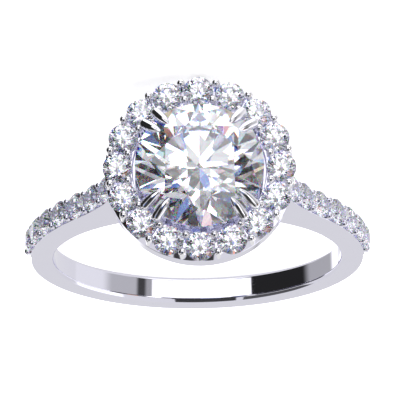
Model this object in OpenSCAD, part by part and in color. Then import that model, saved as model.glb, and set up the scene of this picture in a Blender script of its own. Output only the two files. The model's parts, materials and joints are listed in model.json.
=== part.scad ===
// Halo ring: a round brilliant held by eight paired claws inside a ring of small
// brilliants, on a band whose shoulders sweep up to the halo and are set with stones.
// It lies on its side, as it would on a table: the far edge of the halo and the far
// edge of the band touch the surface. Millimetres, +Z up.
//
// The pieces are drawn in the ring's own frame: X across the finger, Y along the
// finger, Z from the finger's middle up to the centre stone. laid_down() then turns
// that frame on its side.

/* [Stones] */
// Diameter of the centre stone
centre_d = 6.5; // [6:0.1:7]
// Diameter of one halo stone
halo_stone_d = 1.5; // [1.4:0.05:1.6]
// Diameter of one shoulder stone
shoulder_stone_d = 1.45; // [1.35:0.05:1.5]
// Table width as a share of a stone's diameter
table_share = 0.57; // [0.52:0.01:0.62]
// Girdle thickness as a share of a stone's diameter
girdle_share = 0.03; // [0.025:0.005:0.04]
// How far from the point the lower girdle facets end, as a share of the radius
lower_share = 0.23; // [0.2:0.01:0.28]
// Angle of the crown's main facets
crown_angle = 34.5; // [33:0.5:36]
// Angle of the pavilion's main facets
pavilion_angle = 40.8; // [40:0.2:42]

/* [Band] */
// Diameter of the finger hole
bore_d = 16.1; // [14.5:0.1:19]
// Width of the band along the finger, from the sides up to the shoulders
band_w = 1.3; // [1.25:0.05:1.6]
// Width of the band at the bottom
foot_w = 1.6; // [1.5:0.05:2]
// Thickness of the band at its sides
band_wall = 1.25; // [1.1:0.05:1.6]
// Extra thickness of the band at the bottom
bottom_extra = 0.15; // [0.05:0.05:0.4]
// Width of the finger hole's straight wall between its two sloped edges
straight_w = 1.14; // [1:0.02:1.2]

/* [Shoulders] */
// Number of stones on one shoulder
shoulder_count = 7; // [4:1:8]
// Clear space between neighbouring shoulder stones
shoulder_gap = 0.17; // [0.15:0.01:0.2]
// Distance along the shoulder from the halo to the first pair of beads
shoulder_start = 1.4; // [1:0.1:1.8]
// Height of the shoulder's top over the band where the two meet
shoulder_step = 0.06; // [0.05:0.01:0.15]
// How much larger the shoulder's convex arc is than the band's own radius
shoulder_flat = 4.2; // [3.5:0.1:5]
// Angle from the head at which the convex arc would touch the band
shoulder_low = 81; // [78:1:84]
// Angle at which the convex arc gives way to the sweep up to the halo
shoulder_turn = 52; // [49:1:54]
// Radius of the sweep up to the halo
sweep_r = 16; // [14:0.5:20]
// Width of the window under the head
window_w = 5.6; // [5.2:0.1:6]

/* [Halo] */
// Height of the halo stones' girdles over the middle of the finger hole
halo_height = 14.03; // [13.6:0.05:15]
// Clear space between the centre stone and the halo's inner wall
halo_inner_gap = 0.13; // [0.1:0.01:0.2]
// Least clear space between neighbouring halo stones
halo_gap = 0.09; // [0.08:0.01:0.15]
// How far the halo stones overhang the outer wall
halo_overhang = 0.1; // [0.05:0.01:0.15]
// Height of the halo's body
halo_body_h = 1.1; // [1:0.05:1.3]
// Size of the slope at the halo's outer top edge
halo_slope = 0.32; // [0.2:0.02:0.4]
// Depth of the halo stones' girdles above the halo's body
halo_lift = 0.18; // [0.15:0.01:0.22]
// Width of the collar inside the halo, under the edge of the centre stone
collar_w = 0.55; // [0.4:0.05:0.7]
// Depth of the collar's top below the halo's body
collar_drop = 0.4; // [0.35:0.05:0.6]

/* [Head] */
// Height of the centre stone's girdle over the halo stones' girdles
centre_lift = 0.42; // [0.35:0.01:0.6]
// Turn of the centre stone's table corners from the X axis
centre_turn = 22.5; // [0:0.5:45]
// Angle between the two claws of a pair
claw_pair_angle = 13.6; // [12:0.2:16]
// Width of a claw
claw_d = 0.54; // [0.48:0.01:0.58]
// Distance of the middle of a claw's round end outside the stone's edge
claw_out = 0.23; // [0.18:0.01:0.28]
// Height of that middle over the centre girdle
claw_rise = 0.15; // [0.1:0.01:0.2]
// How far a claw reaches over the stone
claw_grip = 0.78; // [0.7:0.01:0.86]
// How much narrower a claw's tip is than the claw, as a share of its width
claw_taper = 0.8; // [0.7:0.05:0.85]
// Diameter of a claw's post
post_d = 0.52; // [0.46:0.01:0.56]
// Radius of the circle that the posts stand on
post_foot_r = 2.0; // [1.8:0.05:2.2]
// Width of the rail that joins the posts at their feet
rail_w = 0.6; // [0.5:0.05:0.8]
// Height of that rail
rail_h = 0.7; // [0.6:0.05:0.9]

/* [Beads] */
// Diameter of a bead's round top
bead_d = 0.41; // [0.36:0.01:0.44]
// How much thinner a bead's stem is than its round top
neck = 0.04; // [0.03:0.01:0.06]
// Height of a bead's top over the girdles beside it
bead_rise = 0.4; // [0.3:0.02:0.44]
// Distance of a shoulder bead's middle from the line of stones
bead_spread = 0.43; // [0.4:0.01:0.46]
// Distance of the halo's outer beads outside the line of stones
outer_bead = 0.32; // [0.28:0.01:0.36]
// Distance of the halo's inner beads inside the line of stones
inner_bead = 0.55; // [0.5:0.01:0.58]
// Height of a shoulder bead's top over the metal
shoulder_rise = 0.34; // [0.3:0.01:0.4]
// Height of the shoulder stones' girdles over the metal
shoulder_lift = 0.15; // [0.1:0.01:0.2]

/* [Fits] */
// Clearance between a stone and the metal round it
seat_gap = 0.03; // [0.02:0.005:0.04]

/* [Hidden] */
$fn = 64;
metal_colour = "silver";
stone_colour = "white";

bore_r = bore_d / 2;
band_r = bore_r + band_wall;
bottom_r = band_r + bottom_extra;

// Halo: the stones' circle follows the centre stone, and as many stones as fit stand on it.
halo_inner_r = centre_d / 2 + halo_inner_gap;
halo_circle_r = halo_inner_r + halo_stone_d / 2;
halo_wall_r = halo_circle_r + halo_stone_d / 2 - halo_overhang;
halo_count = floor(180 / asin((halo_stone_d + halo_gap) / (2 * halo_circle_r)));
halo_step = 360 / halo_count;
halo_top = halo_height - halo_lift;
halo_bottom = halo_top - halo_body_h;
centre_height = halo_height + centre_lift;

// Shoulder: a convex arc that starts on the band, then a concave sweep up to the halo.
arc_r = band_r + shoulder_step + shoulder_flat;
arc_mid = -shoulder_flat * [sin(shoulder_low), cos(shoulder_low)];
turn_point = arc_mid + arc_r * [sin(shoulder_turn), cos(shoulder_turn)];
sweep_mid = turn_point + sweep_r * [sin(shoulder_turn), cos(shoulder_turn)];
sweep_top = asin((sweep_mid[1] - halo_bottom) / sweep_r);
sweep_low = 90 - shoulder_turn;
sweep_len = (sweep_low - sweep_top) * PI / 180 * sweep_r;
shoulder_pitch = shoulder_stone_d + shoulder_gap;
shoulder_len = shoulder_start + shoulder_count * shoulder_pitch + shoulder_pitch / 4;

// Resting pose: the line through the two far edges that touch the surface is level.
rest_tilt = atan2(halo_wall_r - foot_w / 2, halo_bottom + bottom_r);
rest_height = foot_w / 2 * cos(rest_tilt) + bottom_r * sin(rest_tilt);
crown_top = centre_height + centre_d * girdle_share / 2
    + centre_d / 2 * (1 - table_share) * tan(crown_angle);
corner_turn = min(centre_turn, 45 - centre_turn);
table_reach = centre_d / 2 * table_share * cos(corner_turn);
head_reach = crown_top * cos(rest_tilt) + table_reach * sin(rest_tilt);
band_reach = bottom_r * cos(rest_tilt) + foot_w / 2 * sin(rest_tilt);
rest_shift = (head_reach - band_reach) / 2;

// Small overlap by which soldered pieces reach into each other.
solder = 0.25;

function numbered(name, i) = str(name, i < 10 ? "0" : "", i);

// Turns the ring's frame onto its side: -Y of the ring faces up, the head faces -Y.
module laid_down() {
    translate([0, rest_shift, rest_height])
        rotate([0, 0, 180])
            rotate([rest_tilt - 90, 0, 0])
                children();
}

// Point of the shoulder's top line at distance s below the halo, as [x, z, lean],
// where lean is the angle of the outward direction over the X axis.
function shoulder_point(s) =
    s < sweep_len
        ? let (b = sweep_top + s / sweep_r * 180 / PI)
          [sweep_mid[0] - sweep_r * cos(b), sweep_mid[1] - sweep_r * sin(b), b]
        : let (a = shoulder_turn + (s - sweep_len) / arc_r * 180 / PI)
          [arc_mid[0] + arc_r * sin(a), arc_mid[1] + arc_r * cos(a), 90 - a];

// Places children on the right shoulder with +Z along its outward direction.
module on_shoulder(s) {
    p = shoulder_point(s);
    translate([p[0], 0, p[1]])
        rotate([0, 90 - p[2], 0])
            children();
}

// Points of a brilliant, its girdle's middle at z = 0.
function polar(r, a, z) = [r * cos(a), r * sin(a), z];
function plane_z(p, a, b, c) =
    let (n = cross(b - a, c - a))
    a[2] - (n[0] * (p[0] - a[0]) + n[1] * (p[1] - a[1])) / n[2];
// Height of the girdle's edge halfway between two facet corners, on the facet's plane.
function girdle_mid(r, z, inner) =
    plane_z(polar(r, 11.25, 0), inner, polar(r, 0, z), polar(r, 22.5, z));

// A round brilliant: table, 8 star, 8 kite and 16 upper girdle facets, a girdle of
// 32 sides, 16 lower girdle facets and 8 pavilion mains that meet in a point.
module brilliant(d) {
    r = d / 2;
    half_girdle = d * girdle_share / 2;
    table_r = r * table_share;
    star_r = (table_r * cos(22.5) + r) / 2;
    lower_r = r * lower_share;
    table_z = half_girdle + (r - table_r) * tan(crown_angle);
    star_z = half_girdle + (r - star_r * cos(22.5)) * tan(crown_angle);
    lower_z = -half_girdle - (r - lower_r * cos(22.5)) * tan(pavilion_angle);
    top_mid = girdle_mid(r, half_girdle, polar(star_r, 22.5, star_z));
    low_mid = girdle_mid(r, -half_girdle, polar(lower_r, 22.5, lower_z));
    points = concat(
        [for (k = [0 : 7]) polar(table_r, 45 * k, table_z)],
        [for (k = [0 : 7]) polar(star_r, 45 * k + 22.5, star_z)],
        [for (j = [0 : 31]) polar(r, 11.25 * j, j % 2 == 0 ? half_girdle : top_mid)],
        [for (j = [0 : 31]) polar(r, 11.25 * j, j % 2 == 0 ? -half_girdle : low_mid)],
        [for (k = [0 : 7]) polar(lower_r, 45 * k + 22.5, lower_z)],
        [[0, 0, -half_girdle - r * tan(pavilion_angle)]]
    );
    star = 8;
    top = 16;
    low = 48;
    inner = 80;
    tip = 88;
    faces = concat(
        [[for (k = [7 : -1 : 0]) k]],
        [for (k = [0 : 7]) [(k + 1) % 8, star + k, k]],
        [for (k = [0 : 7]) [k, star + k, top + 4 * k, star + (k + 7) % 8]],
        [for (k = [0 : 7], h = [0, 2])
            [top + (4 * k + h + 2) % 32, top + 4 * k + h + 1, top + 4 * k + h, star + k]],
        [for (j = [0 : 31]) [top + j, top + (j + 1) % 32, low + (j + 1) % 32, low + j]],
        [for (k = [0 : 7], h = [0, 2])
            [inner + k, low + 4 * k + h, low + 4 * k + h + 1, low + (4 * k + h + 2) % 32]],
        [for (k = [0 : 7]) [tip, inner + (k + 7) % 8, low + 4 * k, inner + k]]
    );
    polyhedron(points, faces);
}

// The round space that a stone takes up with its clearance, for cutting seats. The crown's
// facets stand a little over its round cone between their middles, so it is cut higher there.
module stone_space(d, crown_gap = 2 * seat_gap) {
    r = d / 2;
    half_girdle = d * girdle_share / 2;
    table_r = r * table_share;
    crown_h = half_girdle + (r - table_r) * tan(crown_angle);
    cone_shift = seat_gap / cos(pavilion_angle);
    rotate_extrude()
        polygon([
            [0, -half_girdle - r * tan(pavilion_angle) - cone_shift],
            [r + seat_gap, -half_girdle - cone_shift + seat_gap * tan(pavilion_angle)],
            [r + seat_gap, half_girdle + seat_gap],
            [table_r + seat_gap, crown_h + crown_gap],
            [0, crown_h + crown_gap]
        ]);
}

// A bead on its stem, its base line at z = 0 and its top at the given height.
module bead(top, depth) {
    translate([0, 0, -depth])
        cylinder(d = bead_d - neck, h = depth + top - bead_d / 2);
    translate([0, 0, top - bead_d / 2])
        sphere(d = bead_d);
}

// Seat of shoulder stone k on the right side, counted from the halo.
module at_shoulder_seat(k) {
    on_shoulder(shoulder_start + (k - 0.5) * shoulder_pitch)
        translate([0, 0, shoulder_lift])
            children();
}

// Places children at every halo stone, +Z up and +X outwards.
module at_halo(first = 1, last = halo_count) {
    for (i = [first : last])
        rotate([0, 0, -90 + (i - 1) * halo_step])
            translate([halo_circle_r, 0, halo_height])
                children();
}

// Places children at every claw: four pairs on the diagonals.
module at_claws() {
    for (corner = [45 : 90 : 315], side = [-1, 1])
        rotate([0, 0, corner + side * claw_pair_angle / 2])
            children();
}

// Side view of the shank: the band's outer disc and the two swept shoulders.
module shank_outline() {
    translate([0, -bottom_extra])
        circle(r = band_r);
    foot_r = bore_r + band_wall / 2;
    end = shoulder_point(shoulder_len);
    end_angle = atan2(end[0], end[1]);
    window_angle = asin(window_w / 2 / foot_r);
    side = concat(
        [[window_w / 2, halo_bottom + solder]],
        [[shoulder_point(0)[0], halo_bottom + solder]],
        [for (k = [0 : 40]) let (p = shoulder_point(k / 40 * shoulder_len)) [p[0], p[1]]],
        [for (k = [0 : 12]) let (a = end_angle + (window_angle - end_angle) * k / 12)
            foot_r * [sin(a), cos(a)]]
    );
    for (flip = [0, 1])
        mirror([flip, 0])
            polygon(side);
}

// The finger hole with its sloped edges, as a solid to cut away.
module finger_space() {
    flare = foot_w - straight_w;
    far = straight_w / 2 + flare;
    rotate([90, 0, 0])
        rotate_extrude($fn = 128)
            polygon([
                [0, far],
                [bore_r + flare, far],
                [bore_r, straight_w / 2],
                [bore_r, -straight_w / 2],
                [bore_r + flare, -far],
                [0, -far]
            ]);
}

// Slab that the shank is kept within: even down to the sides, wider towards the bottom.
module width_space() {
    rotate([90, 0, 90])
        linear_extrude(height = 4 * band_r, center = true)
            polygon([
                [-band_w / 2, halo_top],
                [band_w / 2, halo_top],
                [band_w / 2, 0],
                [foot_w / 2, -bottom_r],
                [foot_w / 2, -bottom_r - solder],
                [-foot_w / 2, -bottom_r - solder],
                [-foot_w / 2, -bottom_r],
                [-band_w / 2, 0]
            ]);
}

// Band and swept shoulders in one piece, with the beads that hold the shoulder stones.
module shank() {
    difference() {
        intersection() {
            rotate([90, 0, 0])
                linear_extrude(height = foot_w + solder, center = true)
                    shank_outline();
            width_space();
        }
        finger_space();
    }
    for (flip = [0, 1], k = [0 : shoulder_count], side = [-1, 1])
        mirror([flip, 0, 0])
            on_shoulder(shoulder_start + k * shoulder_pitch)
                translate([0, side * bead_spread, 0])
                    bead(shoulder_rise, solder);
}

// The halo's body with its sloped outer edge and the collar inside it, and a bead
// outside and inside each gap between two stones.
module halo() {
    rotate_extrude($fn = 128)
        polygon([
            [halo_inner_r - collar_w, halo_bottom],
            [halo_wall_r, halo_bottom],
            [halo_wall_r, halo_top - halo_slope],
            [halo_wall_r - halo_slope, halo_top],
            [halo_inner_r, halo_top],
            [halo_inner_r, halo_top - collar_drop],
            [halo_inner_r - collar_w, halo_top - collar_drop]
        ]);
    for (i = [1 : halo_count], reach = [halo_circle_r + outer_bead, halo_circle_r - inner_bead])
        rotate([0, 0, (i - 0.5) * halo_step - 90])
            translate([reach, 0, halo_height])
                bead(bead_rise, halo_lift + solder);
}

// One claw: a drop-shaped finger over the stone's edge, with its round end on a post from
// the rail below. Its points are [distance from the head's axis, height].
module claw() {
    r = claw_d / 2;
    foot = [post_foot_r, band_r];
    end = [centre_d / 2 + claw_out, centre_height + claw_rise];
    crown_edge = centre_height + centre_d * girdle_share / 2 + 2 * seat_gap;
    tip = [centre_d / 2 - claw_grip, crown_edge + claw_grip * tan(crown_angle)];
    rise = end - foot;
    over = tip - end;
    translate([foot[0], 0, foot[1]])
        rotate([0, atan2(rise[0], rise[1]), 0])
            cylinder(d = post_d, h = norm(rise));
    translate([end[0], 0, end[1]])
        rotate([0, atan2(over[0], over[1]), 0])
            rotate_extrude()
                polygon(concat(
                    [for (a = [-90 : 18 : 0]) r * [cos(a), sin(a)]],
                    [for (k = [1 : 6]) let (t = k / 6)
                        [r * (1 - claw_taper * pow(t, 3)), t * norm(over)]],
                    [[0, norm(over)]]
                ));
}

// Claws, posts and the rail that joins their feet and is soldered to the band.
module head() {
    at_claws()
        claw();
    translate([0, 0, band_r - bottom_extra - 2 * solder])
        rotate_extrude()
            translate([post_foot_r - rail_w / 2, 0])
                square([rail_w, rail_h + solder]);
}

// The soldered metal as one solid, with a seat cut for every stone.
module mounting() {
    color(metal_colour)
        laid_down()
            difference() {
                union() {
                    shank();
                    halo();
                    head();
                }
                translate([0, 0, centre_height])
                    stone_space(centre_d, crown_gap = 4 * seat_gap);
                at_halo()
                    stone_space(halo_stone_d);
                for (flip = [0, 1], k = [1 : shoulder_count])
                    mirror([flip, 0, 0])
                        at_shoulder_seat(k)
                            stone_space(shoulder_stone_d);
            }
}

module centre_stone() {
    color(stone_colour)
        laid_down()
            translate([0, 0, centre_height])
                rotate([0, 0, centre_turn])
                    brilliant(centre_d);
}

module halo_stone(i) {
    color(stone_colour)
        laid_down()
            at_halo(i, i)
                brilliant(halo_stone_d);
}

module left_stone(k) {
    color(stone_colour)
        laid_down()
            mirror([1, 0, 0])
                at_shoulder_seat(k)
                    brilliant(shoulder_stone_d);
}

module right_stone(k) {
    color(stone_colour)
        laid_down()
            at_shoulder_seat(k)
                brilliant(shoulder_stone_d);
}

mounting();
centre_stone();
for (i = [1 : halo_count])
    halo_stone(i);
for (i = [1 : shoulder_count])
    left_stone(i);
for (i = [1 : shoulder_count])
    right_stone(i);
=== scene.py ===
import bmesh
import bpy
import json
import math
from mathutils import Matrix, Vector

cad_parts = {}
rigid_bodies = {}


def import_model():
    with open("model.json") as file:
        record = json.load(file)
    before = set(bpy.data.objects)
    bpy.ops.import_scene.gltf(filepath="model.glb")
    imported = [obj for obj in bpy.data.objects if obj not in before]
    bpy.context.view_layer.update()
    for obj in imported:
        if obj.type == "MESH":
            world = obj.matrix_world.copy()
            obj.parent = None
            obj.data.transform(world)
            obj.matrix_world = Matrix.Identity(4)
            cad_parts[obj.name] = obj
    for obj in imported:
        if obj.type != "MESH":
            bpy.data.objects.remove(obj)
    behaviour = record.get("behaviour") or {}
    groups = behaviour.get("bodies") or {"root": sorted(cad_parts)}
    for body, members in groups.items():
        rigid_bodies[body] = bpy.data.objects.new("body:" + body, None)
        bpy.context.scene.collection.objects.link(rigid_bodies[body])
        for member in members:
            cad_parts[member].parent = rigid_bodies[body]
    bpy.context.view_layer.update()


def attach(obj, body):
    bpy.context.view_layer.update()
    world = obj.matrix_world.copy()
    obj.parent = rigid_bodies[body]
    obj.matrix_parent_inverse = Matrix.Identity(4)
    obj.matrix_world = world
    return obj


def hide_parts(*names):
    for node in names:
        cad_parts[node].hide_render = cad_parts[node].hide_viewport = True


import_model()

# Band and shoulders
# One strip of cast white gold, round in side view, whose two shoulders sweep up to the halo.
# It is filed flat on both sides, a little wider at the bottom, and polished.
FINGER_HOLE_R = 8.05
HOLE_SLOPES_OUT = 0.3
HOLE_STEPS = 256
BAND_R = 9.3
BAND_CENTRE = (0, 0, -0.15)
BAND_STEPS = 96
STEP_UP_STEPS = 6
BOTTOM_R = 9.45
BAND_HALF = 0.65
BOTTOM_HALF = 0.8
STRAIGHT_HALF = 0.57

# Each shoulder is an arc that rises from the band, then an arc the other way up to the halo.
SHOULDER_R = 13.56
SHOULDER_CENTRE = Vector((-4.1483, 0, -0.657))
SHOULDER_FOOT = math.radians(83.27)
SHOULDER_STEPS = 48
SWEEP_START = math.radians(52)
SWEEP_R = 16
SWEEP_STEPS = 36
SWEEP_OUT = Vector((math.sin(SWEEP_START), 0, math.cos(SWEEP_START)))
SWEEP_CENTRE = SHOULDER_CENTRE + (SHOULDER_R + SWEEP_R) * SWEEP_OUT
HALO_BOTTOM = 12.75
INTO_HALO = 0.25
SWEEP_END = math.asin((SWEEP_CENTRE.z - HALO_BOTTOM) / SWEEP_R)
WINDOW_HALF = 2.8
WINDOW_STEPS = 20

OUTER_EDGE = 0.2
OUTER_EDGE_SEGMENTS = 6
HOLE_EDGE = 0.05
HOLE_EDGE_SEGMENTS = 4
CORNER = math.radians(40)
SHARP = math.radians(35)
MERGE = 1e-5
NEAR = 1e-4


def half_width(z):
    """Half the band's width at a height over the middle of the finger hole."""
    return BAND_HALF + (BOTTOM_HALF - BAND_HALF) * max(0, -z) / BOTTOM_R


def line_to(bm, vert, x, z):
    """Carries a line on to a point in the plane of the ring, and returns that end."""
    made = bmesh.ops.extrude_vert_indiv(bm, verts=[vert])["verts"][0]
    made.co = (x, 0, z)
    return made


def only_verts(geom):
    """The vertices among what an operator made."""
    return [g for g in geom if isinstance(g, bmesh.types.BMVert)]


def arc_on(bm, vert, centre, angle, steps):
    """Carries a line on along an arc in the plane of the ring, and returns that end."""
    made = bmesh.ops.spin(
        bm, geom=[vert], cent=centre, axis=(0, 1, 0), angle=angle, steps=steps
    )
    return only_verts(made["geom_last"])[0]


def corners(bm, beyond=0, within=math.inf):
    """Edges between faces at an angle, whose ends lie that far from the finger hole's axis."""
    return [
        e
        for e in bm.edges
        if len(e.link_faces) == 2
        and e.calc_face_angle() > CORNER
        and all(beyond < math.hypot(v.co.x, v.co.z) < within for v in e.verts)
    ]


def round_over(bm, edges, offset, segments):
    """Rounds edges over, as a polisher does."""
    bmesh.ops.bevel(
        bm,
        geom=edges,
        offset=offset,
        offset_type="OFFSET",
        affect="EDGES",
        segments=segments,
        profile=0.5,
        material=-1,
        clamp_overlap=True,
    )


# All sizes are in millimetres in the ring's own frame: X across the finger, Y along it and Z to
# the head. LAID_DOWN turns that frame on its side, as the ring rests, and makes it metres.
LEAN = math.radians(10.16397)
MILLIMETRE = 0.001
LAID_DOWN = (
    Matrix.Translation((0, 0.003061876, 0.002455047))
    @ Matrix.Rotation(math.pi, 4, "Z")
    @ Matrix.Rotation(LEAN - math.pi / 2, 4, "X")
    @ Matrix.Scale(MILLIMETRE, 4)
)


def finish_mesh(bm, name):
    """A bmesh in the ring's frame as a laid-down object, rounded faces shaded smooth."""
    bmesh.ops.remove_doubles(bm, verts=bm.verts, dist=MERGE)
    bmesh.ops.recalc_face_normals(bm, faces=bm.faces)
    bmesh.ops.transform(bm, matrix=LAID_DOWN, verts=bm.verts)
    for face in bm.faces:
        face.smooth = True
    mesh = bpy.data.meshes.new(name)
    bm.to_mesh(mesh)
    bm.free()
    mesh.set_sharp_from_angle(angle=SHARP)
    piece = bpy.data.objects.new(name, mesh)
    bpy.context.collection.objects.link(piece)
    return piece


# One half of the outer line, from the bottom of the band up to the window under the head.
bm = bmesh.new()
bottom = bm.verts.new((0, 0, -BOTTOM_R))
level = math.acos(-BAND_CENTRE[2] / BAND_R)
foot = SHOULDER_CENTRE + SHOULDER_R * Vector(
    (math.sin(SHOULDER_FOOT), 0, math.cos(SHOULDER_FOOT))
)
step_up = math.atan2(foot.x, foot.z - BAND_CENTRE[2])
side = arc_on(bm, bottom, BAND_CENTRE, level - math.pi, BAND_STEPS)
side_x = side.co.x
side = arc_on(bm, side, BAND_CENTRE, step_up - level, STEP_UP_STEPS)
side = line_to(bm, side, foot.x, foot.z)
side = arc_on(bm, side, SHOULDER_CENTRE, SWEEP_START - SHOULDER_FOOT, SHOULDER_STEPS)
side = arc_on(bm, side, SWEEP_CENTRE, math.pi / 2 - SWEEP_START - SWEEP_END, SWEEP_STEPS)
side = line_to(bm, side, side.co.x, HALO_BOTTOM + INTO_HALO)
side = line_to(bm, side, WINDOW_HALF, HALO_BOTTOM + INTO_HALO)
window_angle = math.asin(WINDOW_HALF / BAND_R)
side = line_to(bm, side, WINDOW_HALF, BAND_CENTRE[2] + BAND_R * math.cos(window_angle))
arc_on(bm, side, BAND_CENTRE, -window_angle, WINDOW_STEPS)
bmesh.ops.mirror(bm, geom=bm.verts[:] + bm.edges[:], axis="X", merge_dist=NEAR)

# The rim of the finger hole, joined to the outer line on both sides to bound two faces.
outline = list(bm.verts)
drawn = set(outline)
bmesh.ops.create_circle(
    bm, segments=HOLE_STEPS, radius=FINGER_HOLE_R, matrix=Matrix.Rotation(math.pi / 2, 4, "X")
)
rim = [v for v in bm.verts if v not in drawn]
for v in rim:
    v.co *= (FINGER_HOLE_R + half_width(v.co.z) - STRAIGHT_HALF) / FINGER_HOLE_R
for flip in (-1, 1):
    rim_side = Vector((flip * FINGER_HOLE_R, 0, 0))
    band_side = Vector((flip * side_x, 0, 0))
    inner = min(rim, key=lambda v: (v.co - rim_side).length)
    outer = min(outline, key=lambda v: (v.co - band_side).length)
    bm.edges.new((inner, outer))
upper = [e for e in bm.edges if min(v.co.z for v in e.verts) > -NEAR]
lower = [e for e in bm.edges if max(v.co.z for v in e.verts) < NEAR]
faces = bmesh.ops.contextual_create(bm, geom=upper)["faces"]
faces += bmesh.ops.contextual_create(bm, geom=lower)["faces"]

# The faces drawn out to the band's width, and the wall between them shaped with its slopes.
front = {v for f in faces for v in f.verts}
made = bmesh.ops.extrude_face_region(bm, geom=faces, use_keep_orig=True)
back = only_verts(made["geom"])
between = [f for f in bm.faces if all(abs(v.co.z) < NEAR for v in f.verts)]
bmesh.ops.delete(bm, geom=between, context="FACES_ONLY")
for v in front:
    v.co.y = -half_width(v.co.z)
for v in back:
    v.co.y = half_width(v.co.z)
hole_wall = [
    e
    for e in bm.edges
    if len({v in front for v in e.verts}) == 2
    and all(math.hypot(v.co.x, v.co.z) < FINGER_HOLE_R + HOLE_SLOPES_OUT for v in e.verts)
]
made = bmesh.ops.subdivide_edges(bm, edges=hole_wall, cuts=2, use_grid_fill=True)
for v in only_verts(made["geom_inner"]):
    straight = Vector((v.co.x, 0, v.co.z)).normalized() * FINGER_HOLE_R
    v.co = (straight.x, math.copysign(STRAIGHT_HALF, v.co.y), straight.z)
bmesh.ops.recalc_face_normals(bm, faces=bm.faces)
bmesh.ops.remove_doubles(bm, verts=bm.verts, dist=MERGE)
outer_edges = corners(bm, beyond=FINGER_HOLE_R + HOLE_SLOPES_OUT)
hole_edges = corners(bm, within=FINGER_HOLE_R + HOLE_SLOPES_OUT)
round_over(bm, outer_edges, OUTER_EDGE, OUTER_EDGE_SEGMENTS)
round_over(bm, [e for e in hole_edges if e.is_valid], HOLE_EDGE, HOLE_EDGE_SEGMENTS)
shank = finish_mesh(bm, "shank")

# The stones' seats: the space that every stone takes up with a hair of clearance. The setter
# drills it out of the metal, so it is cut from each metal piece and isn't shown itself.
STONE_GAP = 0.03
CENTRE_SIZE = 6.5
CENTRE_HEIGHT = 14.45
HALO_SIZE = 1.5
HALO_COUNT = 16
HALO_STEP = 2 * math.pi / HALO_COUNT
HALO_CIRCLE_R = 4.13
HALO_HEIGHT = 14.03
SHOULDER_SIZE = 1.45
SHOULDER_COUNT = 7
SHOULDER_PITCH = 1.62
SHOULDER_START = 1.4
SHOULDER_LIFT = 0.15
SWEEP_LEN = (math.pi / 2 - SWEEP_START - SWEEP_END) * SWEEP_R
GIRDLE_SHARE = 0.015
TABLE_SHARE = 0.57
CROWN_ANGLE = math.radians(34.5)
PAVILION_ANGLE = math.radians(40.8)
SEAT_STEPS = 64


def draw(bm, points):
    """Draws a line through (x, z) points in the plane of the ring, and returns its two ends."""
    start = end = bm.verts.new((points[0][0], 0, points[0][1]))
    for x, z in points[1:]:
        end = line_to(bm, end, x, z)
    return start, end


def revolve(bm, steps):
    """Turns all that is drawn so far into a solid of revolution about Z."""
    bmesh.ops.spin(
        bm,
        geom=bm.verts[:] + bm.edges[:],
        cent=(0, 0, 0),
        axis=(0, 0, 1),
        angle=2 * math.pi,
        steps=steps,
        use_merge=True,
    )
    bmesh.ops.remove_doubles(bm, verts=bm.verts, dist=MERGE)


def copies(bm, places):
    """Leaves one copy of all that is drawn so far at each of the places."""
    first = bm.verts[:] + bm.edges[:] + bm.faces[:]
    for place in places:
        made = bmesh.ops.duplicate(bm, geom=first)["geom"]
        bmesh.ops.transform(bm, matrix=place, verts=only_verts(made))
    bmesh.ops.delete(bm, geom=first, context="VERTS")


def at_halo(i, reach):
    """Place in the halo, where i counts stones from the front one and may be a half."""
    turn = Matrix.Rotation(-math.pi / 2 + (i - 1) * HALO_STEP, 4, "Z")
    return turn @ Matrix.Translation((reach, 0, HALO_HEIGHT))


def on_shoulder(s, flip):
    """Place on a shoulder's top line at distance s below the halo, its Z axis outwards."""
    if s < SWEEP_LEN:
        angle = SWEEP_END + s / SWEEP_R
        out = Vector((math.cos(angle), 0, math.sin(angle)))
        point = SWEEP_CENTRE - SWEEP_R * out
    else:
        angle = SWEEP_START + (s - SWEEP_LEN) / SHOULDER_R
        out = Vector((math.sin(angle), 0, math.cos(angle)))
        point = SHOULDER_CENTRE + SHOULDER_R * out
    place = Matrix.Translation(point) @ Matrix.Rotation(math.atan2(out.x, out.z), 4, "Y")
    return Matrix.Scale(-1, 4, (1, 0, 0)) @ place if flip < 0 else place


def stone_space(bm, size, places, over_table):
    """Adds the space of a stone of that diameter, with room over its table, at each place."""
    r = size / 2
    girdle = GIRDLE_SHARE * size
    table = TABLE_SHARE * r
    crown = girdle + (r - table) * math.tan(CROWN_ANGLE)
    slope = math.tan(PAVILION_ANGLE)
    drop = STONE_GAP / math.cos(PAVILION_ANGLE)
    part = bmesh.new()
    draw(
        part,
        [
            (0, -girdle - r * slope - drop),
            (r + STONE_GAP, -girdle - drop + STONE_GAP * slope),
            (r + STONE_GAP, girdle + STONE_GAP),
            (table + STONE_GAP, crown + over_table),
            (0, crown + over_table),
        ],
    )
    revolve(part, SEAT_STEPS)
    copies(part, places)
    loose = bpy.data.meshes.new("space")
    part.to_mesh(loose)
    part.free()
    bm.from_mesh(loose)
    bpy.data.meshes.remove(loose)


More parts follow.
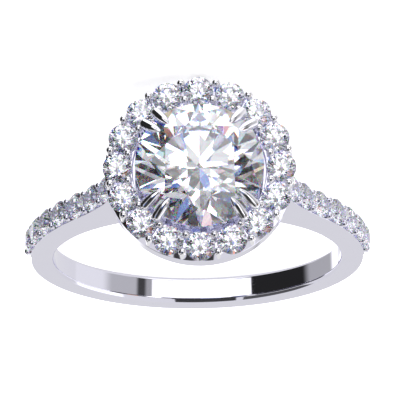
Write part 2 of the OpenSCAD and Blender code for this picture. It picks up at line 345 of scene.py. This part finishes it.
def cut_by(piece, cutter):
    """Takes the cutter's space out of a piece, and keeps its flat faces flat in shading."""
    cut = piece.modifiers.new("seats", "BOOLEAN")
    cut.operation = "DIFFERENCE"
    cut.solver = "MANIFOLD"
    cut.object = cutter
    seen = piece.evaluated_get(bpy.context.evaluated_depsgraph_get())
    mesh = bpy.data.meshes.new_from_object(seen)
    piece.modifiers.remove(cut)
    mesh.set_sharp_from_angle(angle=SHARP)
    # Face areas in square metres are too small to weigh, so the weighing is done in millimetres.
    mesh.transform(Matrix.Scale(1 / MILLIMETRE, 4))
    piece.data = mesh
    even = piece.modifiers.new("even shading", "WEIGHTED_NORMAL")
    even.keep_sharp = True
    seen = piece.evaluated_get(bpy.context.evaluated_depsgraph_get())
    mesh = bpy.data.meshes.new_from_object(seen)
    piece.modifiers.remove(even)
    mesh.transform(Matrix.Scale(MILLIMETRE, 4))
    piece.data = mesh
    return piece


def white_gold(name, tone, smooth, dull):
    """Rhodium-plated gold, a touch violet, with the faint unevenness that a mop leaves."""
    material = bpy.data.materials.new(name)
    material.use_nodes = True
    nodes = material.node_tree.nodes
    links = material.node_tree.links
    shader = nodes["Principled BSDF"]
    shader.inputs["Metallic"].default_value = 1.0
    place = nodes.new("ShaderNodeTexCoord")
    cloud = nodes.new("ShaderNodeTexNoise")
    cloud.inputs["Scale"].default_value = 900
    cloud.inputs["Detail"].default_value = 3
    links.new(place.outputs["Object"], cloud.inputs["Vector"])
    tint = nodes.new("ShaderNodeMix")
    tint.data_type = "RGBA"
    tint.inputs["A"].default_value = (tone - 0.01, tone - 0.02, min(tone + 0.09, 1), 1)
    tint.inputs["B"].default_value = (tone + 0.01, tone, min(tone + 0.11, 1), 1)
    links.new(cloud.outputs["Fac"], tint.inputs["Factor"])
    links.new(tint.outputs["Result"], shader.inputs["Base Color"])
    polish = nodes.new("ShaderNodeMapRange")
    polish.inputs["To Min"].default_value = smooth
    polish.inputs["To Max"].default_value = dull
    links.new(cloud.outputs["Fac"], polish.inputs["Value"])
    links.new(polish.outputs["Result"], shader.inputs["Roughness"])
    return material


def join_mounting(piece, gold):
    """Gives a metal piece its finish, as a part of the soldered mounting."""
    piece.data.materials.clear()
    piece.data.materials.append(gold)
    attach(piece, "root")
    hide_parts("mounting")


shoulder_seats = [
    on_shoulder(SHOULDER_START + (k - 0.5) * SHOULDER_PITCH, flip)
    @ Matrix.Translation((0, 0, SHOULDER_LIFT))
    for flip in (-1, 1)
    for k in range(1, SHOULDER_COUNT + 1)
]
halo_seats = [at_halo(i, HALO_CIRCLE_R) for i in range(1, HALO_COUNT + 1)]
centre_seat = Matrix.Translation((0, 0, CENTRE_HEIGHT))
bm = bmesh.new()
stone_space(bm, CENTRE_SIZE, [centre_seat], 4 * STONE_GAP)
stone_space(bm, HALO_SIZE, halo_seats, 2 * STONE_GAP)
stone_space(bm, SHOULDER_SIZE, shoulder_seats, 2 * STONE_GAP)
seats = finish_mesh(bm, "seats")
cut_by(shank, seats)
polished = white_gold("white_gold", tone=0.83, smooth=0.02, dull=0.07)
join_mounting(shank, polished)

# Halo
# A ring of cast white gold under the small stones: upright outer wall with a sloped top edge,
# and a narrow lower collar inside it under the centre stone's edge. Turned and polished.
HALO_R = 4.78
HALO_SLOPE_R = 4.46
HALO_SLOPE_BOTTOM = 13.53
HALO_TOP = 13.85
COLLAR_OUTER_R = 3.38
COLLAR_R = 2.83
COLLAR_TOP = 13.45
HALO_EDGE = 0.03
HALO_EDGE_SEGMENTS = 2
HALO_STEPS = 256


def turned_ring(points, steps, edge, segments):
    """A bmesh with a closed outline turned about Z and its edges rounded over."""
    bm = bmesh.new()
    start, end = draw(bm, points)
    bm.edges.new((end, start))
    revolve(bm, steps)
    bmesh.ops.recalc_face_normals(bm, faces=bm.faces)
    round_over(bm, corners(bm), edge, segments)
    return bm


bm = turned_ring(
    [
        (COLLAR_R, HALO_BOTTOM),
        (HALO_R, HALO_BOTTOM),
        (HALO_R, HALO_SLOPE_BOTTOM),
        (HALO_SLOPE_R, HALO_TOP),
        (COLLAR_OUTER_R, HALO_TOP),
        (COLLAR_OUTER_R, COLLAR_TOP),
        (COLLAR_R, COLLAR_TOP),
    ],
    HALO_STEPS,
    HALO_EDGE,
    HALO_EDGE_SEGMENTS,
)
halo_frame = cut_by(finish_mesh(bm, "halo_frame"), seats)
join_mounting(halo_frame, polished)

# Beads
# Round-headed grains of the same gold, raised from the metal and pushed over the stones'
# edges: one outside and one inside each gap of the halo, and a pair at each shoulder gap.
# The halo's beads are painted paler than the band, as a painted highlight.
STEM_THINNER = 0.02
DOME_STEPS = 8
BEAD_STEPS = 32
HALO_BEAD_R = 0.22
HALO_BEAD_TOP = 0.4
HALO_BEAD_DEPTH = 0.54
HALO_BEAD_REACHES = (4.56, 3.64)
SHOULDER_BEAD_R = 0.205
SHOULDER_BEAD_TOP = 0.34
SHOULDER_BEAD_DEPTH = 0.25
SHOULDER_BEAD_OUT = 0.43


def bead(bm, r, top, depth):
    """Draws a bead on its stem, base line at z = 0."""
    end = bm.verts.new((0, 0, top))
    end = arc_on(bm, end, (0, 0, top - r), math.pi / 2, DOME_STEPS)
    end = line_to(bm, end, r - STEM_THINNER, top - r)
    end = line_to(bm, end, r - STEM_THINNER, -depth)
    line_to(bm, end, 0, -depth)
    revolve(bm, BEAD_STEPS)


bm = bmesh.new()
bead(bm, HALO_BEAD_R, HALO_BEAD_TOP, HALO_BEAD_DEPTH)
copies(
    bm,
    [
        at_halo(i + 0.5, reach)
        for i in range(1, HALO_COUNT + 1)
        for reach in HALO_BEAD_REACHES
    ],
)
halo_beads = cut_by(finish_mesh(bm, "halo_beads"), seats)
# A rougher, paler copy of the band's gold: the roughness is a burnished finish, the paler tone is
# a painted highlight.
burnished_painted_pale = white_gold("burnished_gold", tone=0.97, smooth=0.1, dull=0.16)
join_mounting(halo_beads, burnished_painted_pale)

bm = bmesh.new()
bead(bm, SHOULDER_BEAD_R, SHOULDER_BEAD_TOP, SHOULDER_BEAD_DEPTH)
copies(
    bm,
    [
        on_shoulder(SHOULDER_START + k * SHOULDER_PITCH, flip) @ Matrix.Translation((0, y, 0))
        for flip in (-1, 1)
        for k in range(SHOULDER_COUNT + 1)
        for y in (-SHOULDER_BEAD_OUT, SHOULDER_BEAD_OUT)
    ],
)
shoulder_beads = cut_by(finish_mesh(bm, "shoulder_beads"), seats)
join_mounting(shoulder_beads, polished)

# Claws
# Four pairs of claws hold the centre stone. Each is gold wire filed to a drop: its round end
# stands on a post just outside the stone, and its point is pressed down on the stone's crown.
# Their gold is painted paler than the band's, as a painted highlight.
CLAW_R = 0.27
CLAW_TAPER = 0.8
CLAW_END = Vector((3.48, 0, 14.6))
CLAW_TIP = Vector((2.47, 0, 15.1436))
CLAW_LEN = (CLAW_TIP - CLAW_END).length
CLAW_CORNERS = (45, 135, 225, 315)
CLAW_APART = 6.8
CLAW_ANGLES = [
    math.radians(corner + side * CLAW_APART) for corner in CLAW_CORNERS for side in (-1, 1)
]
CLAW_END_STEPS = 10
TAPER_POWER = 3
TAPER_STEPS = 20
CLAW_STEPS = 48


def from_to(start, stop):
    """Place at a start point in the plane of the ring, its Z axis towards a stop point."""
    lean = math.atan2(stop.x - start.x, stop.z - start.z)
    return Matrix.Translation(start) @ Matrix.Rotation(lean, 4, "Y")


bm = bmesh.new()
end = bm.verts.new((0, 0, -CLAW_R))
end = arc_on(bm, end, (0, 0, 0), -math.pi / 2, CLAW_END_STEPS)
for k in range(1, TAPER_STEPS + 1):
    thickness = CLAW_R * (1 - CLAW_TAPER * (k / TAPER_STEPS) ** TAPER_POWER)
    end = line_to(bm, end, thickness, CLAW_LEN * k / TAPER_STEPS)
line_to(bm, end, 0, CLAW_LEN)
revolve(bm, CLAW_STEPS)
copies(bm, [Matrix.Rotation(a, 4, "Z") @ from_to(CLAW_END, CLAW_TIP) for a in CLAW_ANGLES])
claws = cut_by(finish_mesh(bm, "claws"), seats)
# A paler copy of the band's gold: the paler tone is a painted highlight.
painted_pale_gold = white_gold("bright_gold", tone=0.95, smooth=0.02, dull=0.07)
join_mounting(claws, painted_pale_gold)

# Posts and rail
# Round gold wires that carry the claws. They lean outwards from a rail, a turned ring of the
# same gold that is soldered to the top of the band.
POST_R = 0.26
POST_FOOT = Vector((2.0, 0, 9.3))
POST_LEN = (CLAW_END - POST_FOOT).length
POST_STEPS = 32
RAIL_R = 1.7
RAIL_OUTER_R = 2.3
RAIL_BOTTOM = 8.65
RAIL_TOP = 9.6
RAIL_EDGE = 0.08
RAIL_EDGE_SEGMENTS = 3
RAIL_STEPS = 128

bm = bmesh.new()
draw(bm, [(0, 0), (POST_R, 0), (POST_R, POST_LEN), (0, POST_LEN)])
revolve(bm, POST_STEPS)
copies(bm, [Matrix.Rotation(a, 4, "Z") @ from_to(POST_FOOT, CLAW_END) for a in CLAW_ANGLES])
posts = cut_by(finish_mesh(bm, "claw_posts"), seats)
join_mounting(posts, polished)
bpy.data.objects.remove(seats)

bm = turned_ring(
    [
        (RAIL_R, RAIL_BOTTOM),
        (RAIL_OUTER_R, RAIL_BOTTOM),
        (RAIL_OUTER_R, RAIL_TOP),
        (RAIL_R, RAIL_TOP),
    ],
    RAIL_STEPS,
    RAIL_EDGE,
    RAIL_EDGE_SEGMENTS,
)
rail = finish_mesh(bm, "claw_rail")
join_mounting(rail, polished)

# Diamonds
# Colourless round brilliants, cut and polished flat on every facet. Each main colour bends a
# little more than the one before it, which splits white light into the fire in the stones.
BEND = 2.42
RED_BEND = 2.38
BLUE_BEND = 2.465
FACET_FLAT = math.radians(0.2)
FACET_MERGE = 1e-7


def diamond(name, fire_share):
    """Clear diamond; the share is how much of what the camera sees is split into colours."""
    material = bpy.data.materials.new(name)
    material.use_nodes = True
    nodes = material.node_tree.nodes
    links = material.node_tree.links
    nodes.remove(nodes["Principled BSDF"])

    def glass(bend, colour=(1, 1, 1)):
        """Polished glass that bends light by that much."""
        node = nodes.new("ShaderNodeBsdfGlass")
        node.inputs["Color"].default_value = (*colour, 1)
        node.inputs["IOR"].default_value = bend
        node.inputs["Roughness"].default_value = 0
        return node

    place = nodes.new("ShaderNodeTexCoord")
    haze = nodes.new("ShaderNodeTexNoise")
    haze.inputs["Scale"].default_value = 1500
    links.new(place.outputs["Object"], haze.inputs["Vector"])
    body = nodes.new("ShaderNodeMix")
    body.data_type = "RGBA"
    body.inputs["A"].default_value = (0.975, 0.98, 1, 1)
    body.inputs["B"].default_value = (0.99, 0.99, 1, 1)
    links.new(haze.outputs["Fac"], body.inputs["Factor"])
    plain = glass(BEND)
    links.new(body.outputs["Result"], plain.inputs["Color"])
    fire = glass(RED_BEND, (1, 0, 0))
    for more in (glass(BEND, (0, 1, 0)), glass(BLUE_BEND, (0, 0, 1))):
        both = nodes.new("ShaderNodeAddShader")
        links.new(fire.outputs[0], both.inputs[0])
        links.new(more.outputs[0], both.inputs[1])
        fire = both
    path = nodes.new("ShaderNodeLightPath")
    share = nodes.new("ShaderNodeMath")
    share.operation = "MULTIPLY"
    share.inputs[1].default_value = fire_share
    links.new(path.outputs["Is Camera Ray"], share.inputs[0])
    either = nodes.new("ShaderNodeMixShader")
    links.new(share.outputs[0], either.inputs["Fac"])
    links.new(plain.outputs[0], either.inputs[1])
    links.new(fire.outputs[0], either.inputs[2])
    links.new(either.outputs[0], nodes["Material Output"].inputs["Surface"])
    return material


clear = diamond("diamond", fire_share=0.5)
small_clear = diamond("small_diamond", fire_share=0.15)
for node in [o for o in bpy.data.objects if "stone" in o.name]:
    bm = bmesh.new()
    bm.from_mesh(node.data)
    bmesh.ops.remove_doubles(bm, verts=bm.verts, dist=FACET_MERGE)
    bmesh.ops.recalc_face_normals(bm, faces=bm.faces)
    bmesh.ops.dissolve_limit(bm, angle_limit=FACET_FLAT, verts=bm.verts, edges=bm.edges)
    mesh = bpy.data.meshes.new(node.name)
    bm.to_mesh(mesh)
    bm.free()
    mesh.shade_flat()
    mesh.materials.append(clear if node.name == "centre_stone" else small_clear)
    stone = bpy.data.objects.new(node.name.replace("stone", "brilliant"), mesh)
    bpy.context.collection.objects.link(stone)
    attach(stone, "root")
    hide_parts(node.name)

# Camera
# It looks at the ring from the photograph's place, found by fitting the finger hole, the halo
# and the stones. Its place is given in the ring's own frame, in millimetres.
CAMERA_UP = math.radians(71.60795)
CAMERA_TURN = math.radians(-2.26817)
CAMERA_ROLL = math.radians(1.6867)
CAMERA_AWAY = 117
CAMERA_AIM = Vector((0.07514, 0, 8.86423))
FOCAL_PIXELS = 2232.7432
PICTURE_PIXELS = 400
SENSOR_WIDTH = 36
back = Vector(
    (
        math.sin(CAMERA_TURN) * math.cos(CAMERA_UP),
        -math.cos(CAMERA_TURN) * math.cos(CAMERA_UP),
        math.sin(CAMERA_UP),
    )
)
level_right = (-back).cross(Vector((0, 0, 1))).normalized()
level_up = level_right.cross(-back)
right = level_right * math.cos(CAMERA_ROLL) + level_up * math.sin(CAMERA_ROLL)
up = level_up * math.cos(CAMERA_ROLL) - level_right * math.sin(CAMERA_ROLL)
axes = Matrix((right, up, back)).transposed().to_4x4()
place = LAID_DOWN @ Matrix.Translation(CAMERA_AIM + CAMERA_AWAY * back) @ axes
location, rotation = place.decompose()[:2]
view = bpy.data.cameras.new("camera")
view.sensor_width = SENSOR_WIDTH
view.lens = FOCAL_PIXELS / PICTURE_PIXELS * SENSOR_WIDTH
view.clip_start = MILLIMETRE
camera = bpy.data.objects.new("camera", view)
camera.matrix_world = Matrix.Translation(location) @ rotation.to_matrix().to_4x4()
bpy.context.collection.objects.link(camera)
bpy.context.scene.camera = camera

# Table
# A plain matt white board under the ring. It glows a little, so that it comes out white, and
# the gold and the stones don't mirror it.
TABLE_HALF = 1.5
TABLE_GLOW = 0.62
bm = bmesh.new()
bmesh.ops.create_grid(bm, x_segments=8, y_segments=8, size=TABLE_HALF)
mesh = bpy.data.meshes.new("table")
bm.to_mesh(mesh)
bm.free()
floor = bpy.data.objects.new("table", mesh)
bpy.context.collection.objects.link(floor)
matt_white = bpy.data.materials.new("white_table")
matt_white.use_nodes = True
paint = matt_white.node_tree.nodes["Principled BSDF"]
paint.inputs["Base Color"].default_value = (0.95, 0.95, 0.95, 1)
paint.inputs["Roughness"].default_value = 0.8
paint.inputs["Emission Color"].default_value = (1, 1, 1, 1)
paint.inputs["Emission Strength"].default_value = TABLE_GLOW
floor.data.materials.append(matt_white)
floor.visible_glossy = False
floor.visible_transmission = False

# Studio light
# White light from all round, with soft-edged light and dark cards before it that the gold and
# the stones mirror, and a small lamp overhead for the table alone.
ALL_ROUND = 0.8
WHITE = (1, 1, 1)
BLUE = (0.22, 0.36, 0.9)
ORANGE = (1, 0.4, 0.2)
# A card's middle is given in degrees from the spot behind the photograph's camera: turn to its
# right and height over it. The cards stay there in every view. A later one covers an earlier one.
CARDS = [
    # turn, height, half width, half height, soft edge, brightness, colour
    (0, 76, 180, 12, 4, 1.7, WHITE),
    (105, -30, 35, 22, 4, 1.5, WHITE),
    (-140, -15, 20, 20, 4, 1.5, WHITE),
    (95, 15, 25, 12, 4, 0.88, WHITE),
    (110, -25, 75, 5, 1.5, 0.4, WHITE),
    (-83, 15, 36.5, 45, 1.5, 0.02, WHITE),
    (-80, -55, 40, 7.5, 1.5, 0.1, WHITE),
    (-10, -10, 27.5, 25, 1.5, 0.02, WHITE),
    (45, 15, 27.5, 30, 1.5, 0.02, WHITE),
    (15, 20, 32.5, 15, 1.5, 0.7, WHITE),
    (5, 45, 35, 7.5, 1.5, 0.02, WHITE),
    (-5, 30, 45, 5, 1.5, 1.5, WHITE),
    (-15, 15, 12.5, 10, 1.5, 2, WHITE),
    (45, 20, 25, 12.5, 1.5, 0.4, WHITE),
    (35, 5, 5, 15, 1.5, 2.4, WHITE),
    (-6, -38, 26, 18, 1.5, 0.05, WHITE),
    (-8, 46, 6, 3, 1.5, 0.8, BLUE),
    (-10, -2, 7, 5, 1.5, 0.7, BLUE),
    (-33, -15, 4, 4, 1.5, 0.8, BLUE),
    (52, -13, 4, 3, 1.5, 1.2, ORANGE),
    (180, -36, 60, 12, 6, 0.76, WHITE),
    (70, 24, 10, 8, 12, 0.52, WHITE),
    (53, 28, 2, 6, 4, 0.06, WHITE),
    (-4, 33, 46, 6, 2, 1.5, WHITE),
    (-80, 18, 28, 10, 2, 0.02, WHITE),
    (-125, 6, 14, 6, 10, 0.45, WHITE),
]
LAMP_HEIGHT = 0.6
LAMP_SIZE = 0.5
LAMP_WATTS = 3
studio = bpy.data.worlds.new("studio")
bpy.context.scene.world = studio
studio.use_nodes = True
nodes = studio.node_tree.nodes
links = studio.node_tree.links
direction = nodes.new("ShaderNodeTexCoord")


def number(kind, *values):
    """Adds a number node fed by sockets or numbers, and returns what comes out."""
    node = nodes.new("ShaderNodeMath")
    node.operation = kind
    for socket, value in zip(node.inputs, values):
        if isinstance(value, bpy.types.NodeSocket):
            links.new(value, socket)
        else:
            socket.default_value = value
    return node.outputs[0]


def along(axis):
    """How far the direction of the light points along an axis of the ring's frame."""
    node = nodes.new("ShaderNodeVectorMath")
    node.operation = "DOT_PRODUCT"
    links.new(direction.outputs["Generated"], node.inputs[0])
    node.inputs[1].default_value = (LAID_DOWN.to_3x3() @ axis).normalized()
    return node.outputs["Value"]


def reach(angle, middle, half, edge):
    """1 within half of the middle, falling to 0 over the edge."""
    node = nodes.new("ShaderNodeMapRange")
    node.interpolation_type = "SMOOTHSTEP"
    apart = number("WRAP", number("SUBTRACT", angle, middle), 180, -180)
    links.new(number("ABSOLUTE", apart), node.inputs["Value"])
    node.inputs["From Min"].default_value = half + edge
    node.inputs["From Max"].default_value = half
    return node.outputs["Result"]


turn = number("MULTIPLY", number("ARCTAN2", along(right), along(back)), 180 / math.pi)
height = number("MULTIPLY", number("ARCSINE", along(up)), 180 / math.pi)
light = nodes.new("ShaderNodeRGB").outputs[0]
light.default_value = (ALL_ROUND, ALL_ROUND, ALL_ROUND, 1)
for card_turn, card_height, half_wide, half_high, edge, brightness, colour in CARDS:
    across = reach(turn, card_turn, half_wide, edge)
    upright = reach(height, card_height, half_high, edge)
    mix = nodes.new("ShaderNodeMix")
    mix.data_type = "RGBA"
    links.new(number("MULTIPLY", across, upright), mix.inputs["Factor"])
    links.new(light, mix.inputs["A"])
    mix.inputs["B"].default_value = (*(brightness * c for c in colour), 1)
    light = mix.outputs["Result"]
links.new(light, nodes["Background"].inputs["Color"])

lamp = bpy.data.lights.new("overhead", "AREA")
lamp.shape = "DISK"
lamp.size = LAMP_SIZE
lamp.energy = LAMP_WATTS
overhead = bpy.data.objects.new("overhead", lamp)
overhead.location = (0, 0, LAMP_HEIGHT)
overhead.visible_glossy = False
overhead.visible_transmission = False
bpy.context.collection.objects.link(overhead)

# Picture
# Not a piece: the tones are shown as they are, and light may bounce often enough to find its
# way out of the stones again.
scene = bpy.context.scene
scene.view_settings.view_transform = "Standard"
scene.cycles.max_bounces = 24
scene.cycles.transmission_bounces = 20
scene.cycles.glossy_bounces = 20
scene.cycles.caustics_reflective = True
scene.cycles.caustics_refractive = True
scene.cycles.use_denoising = True
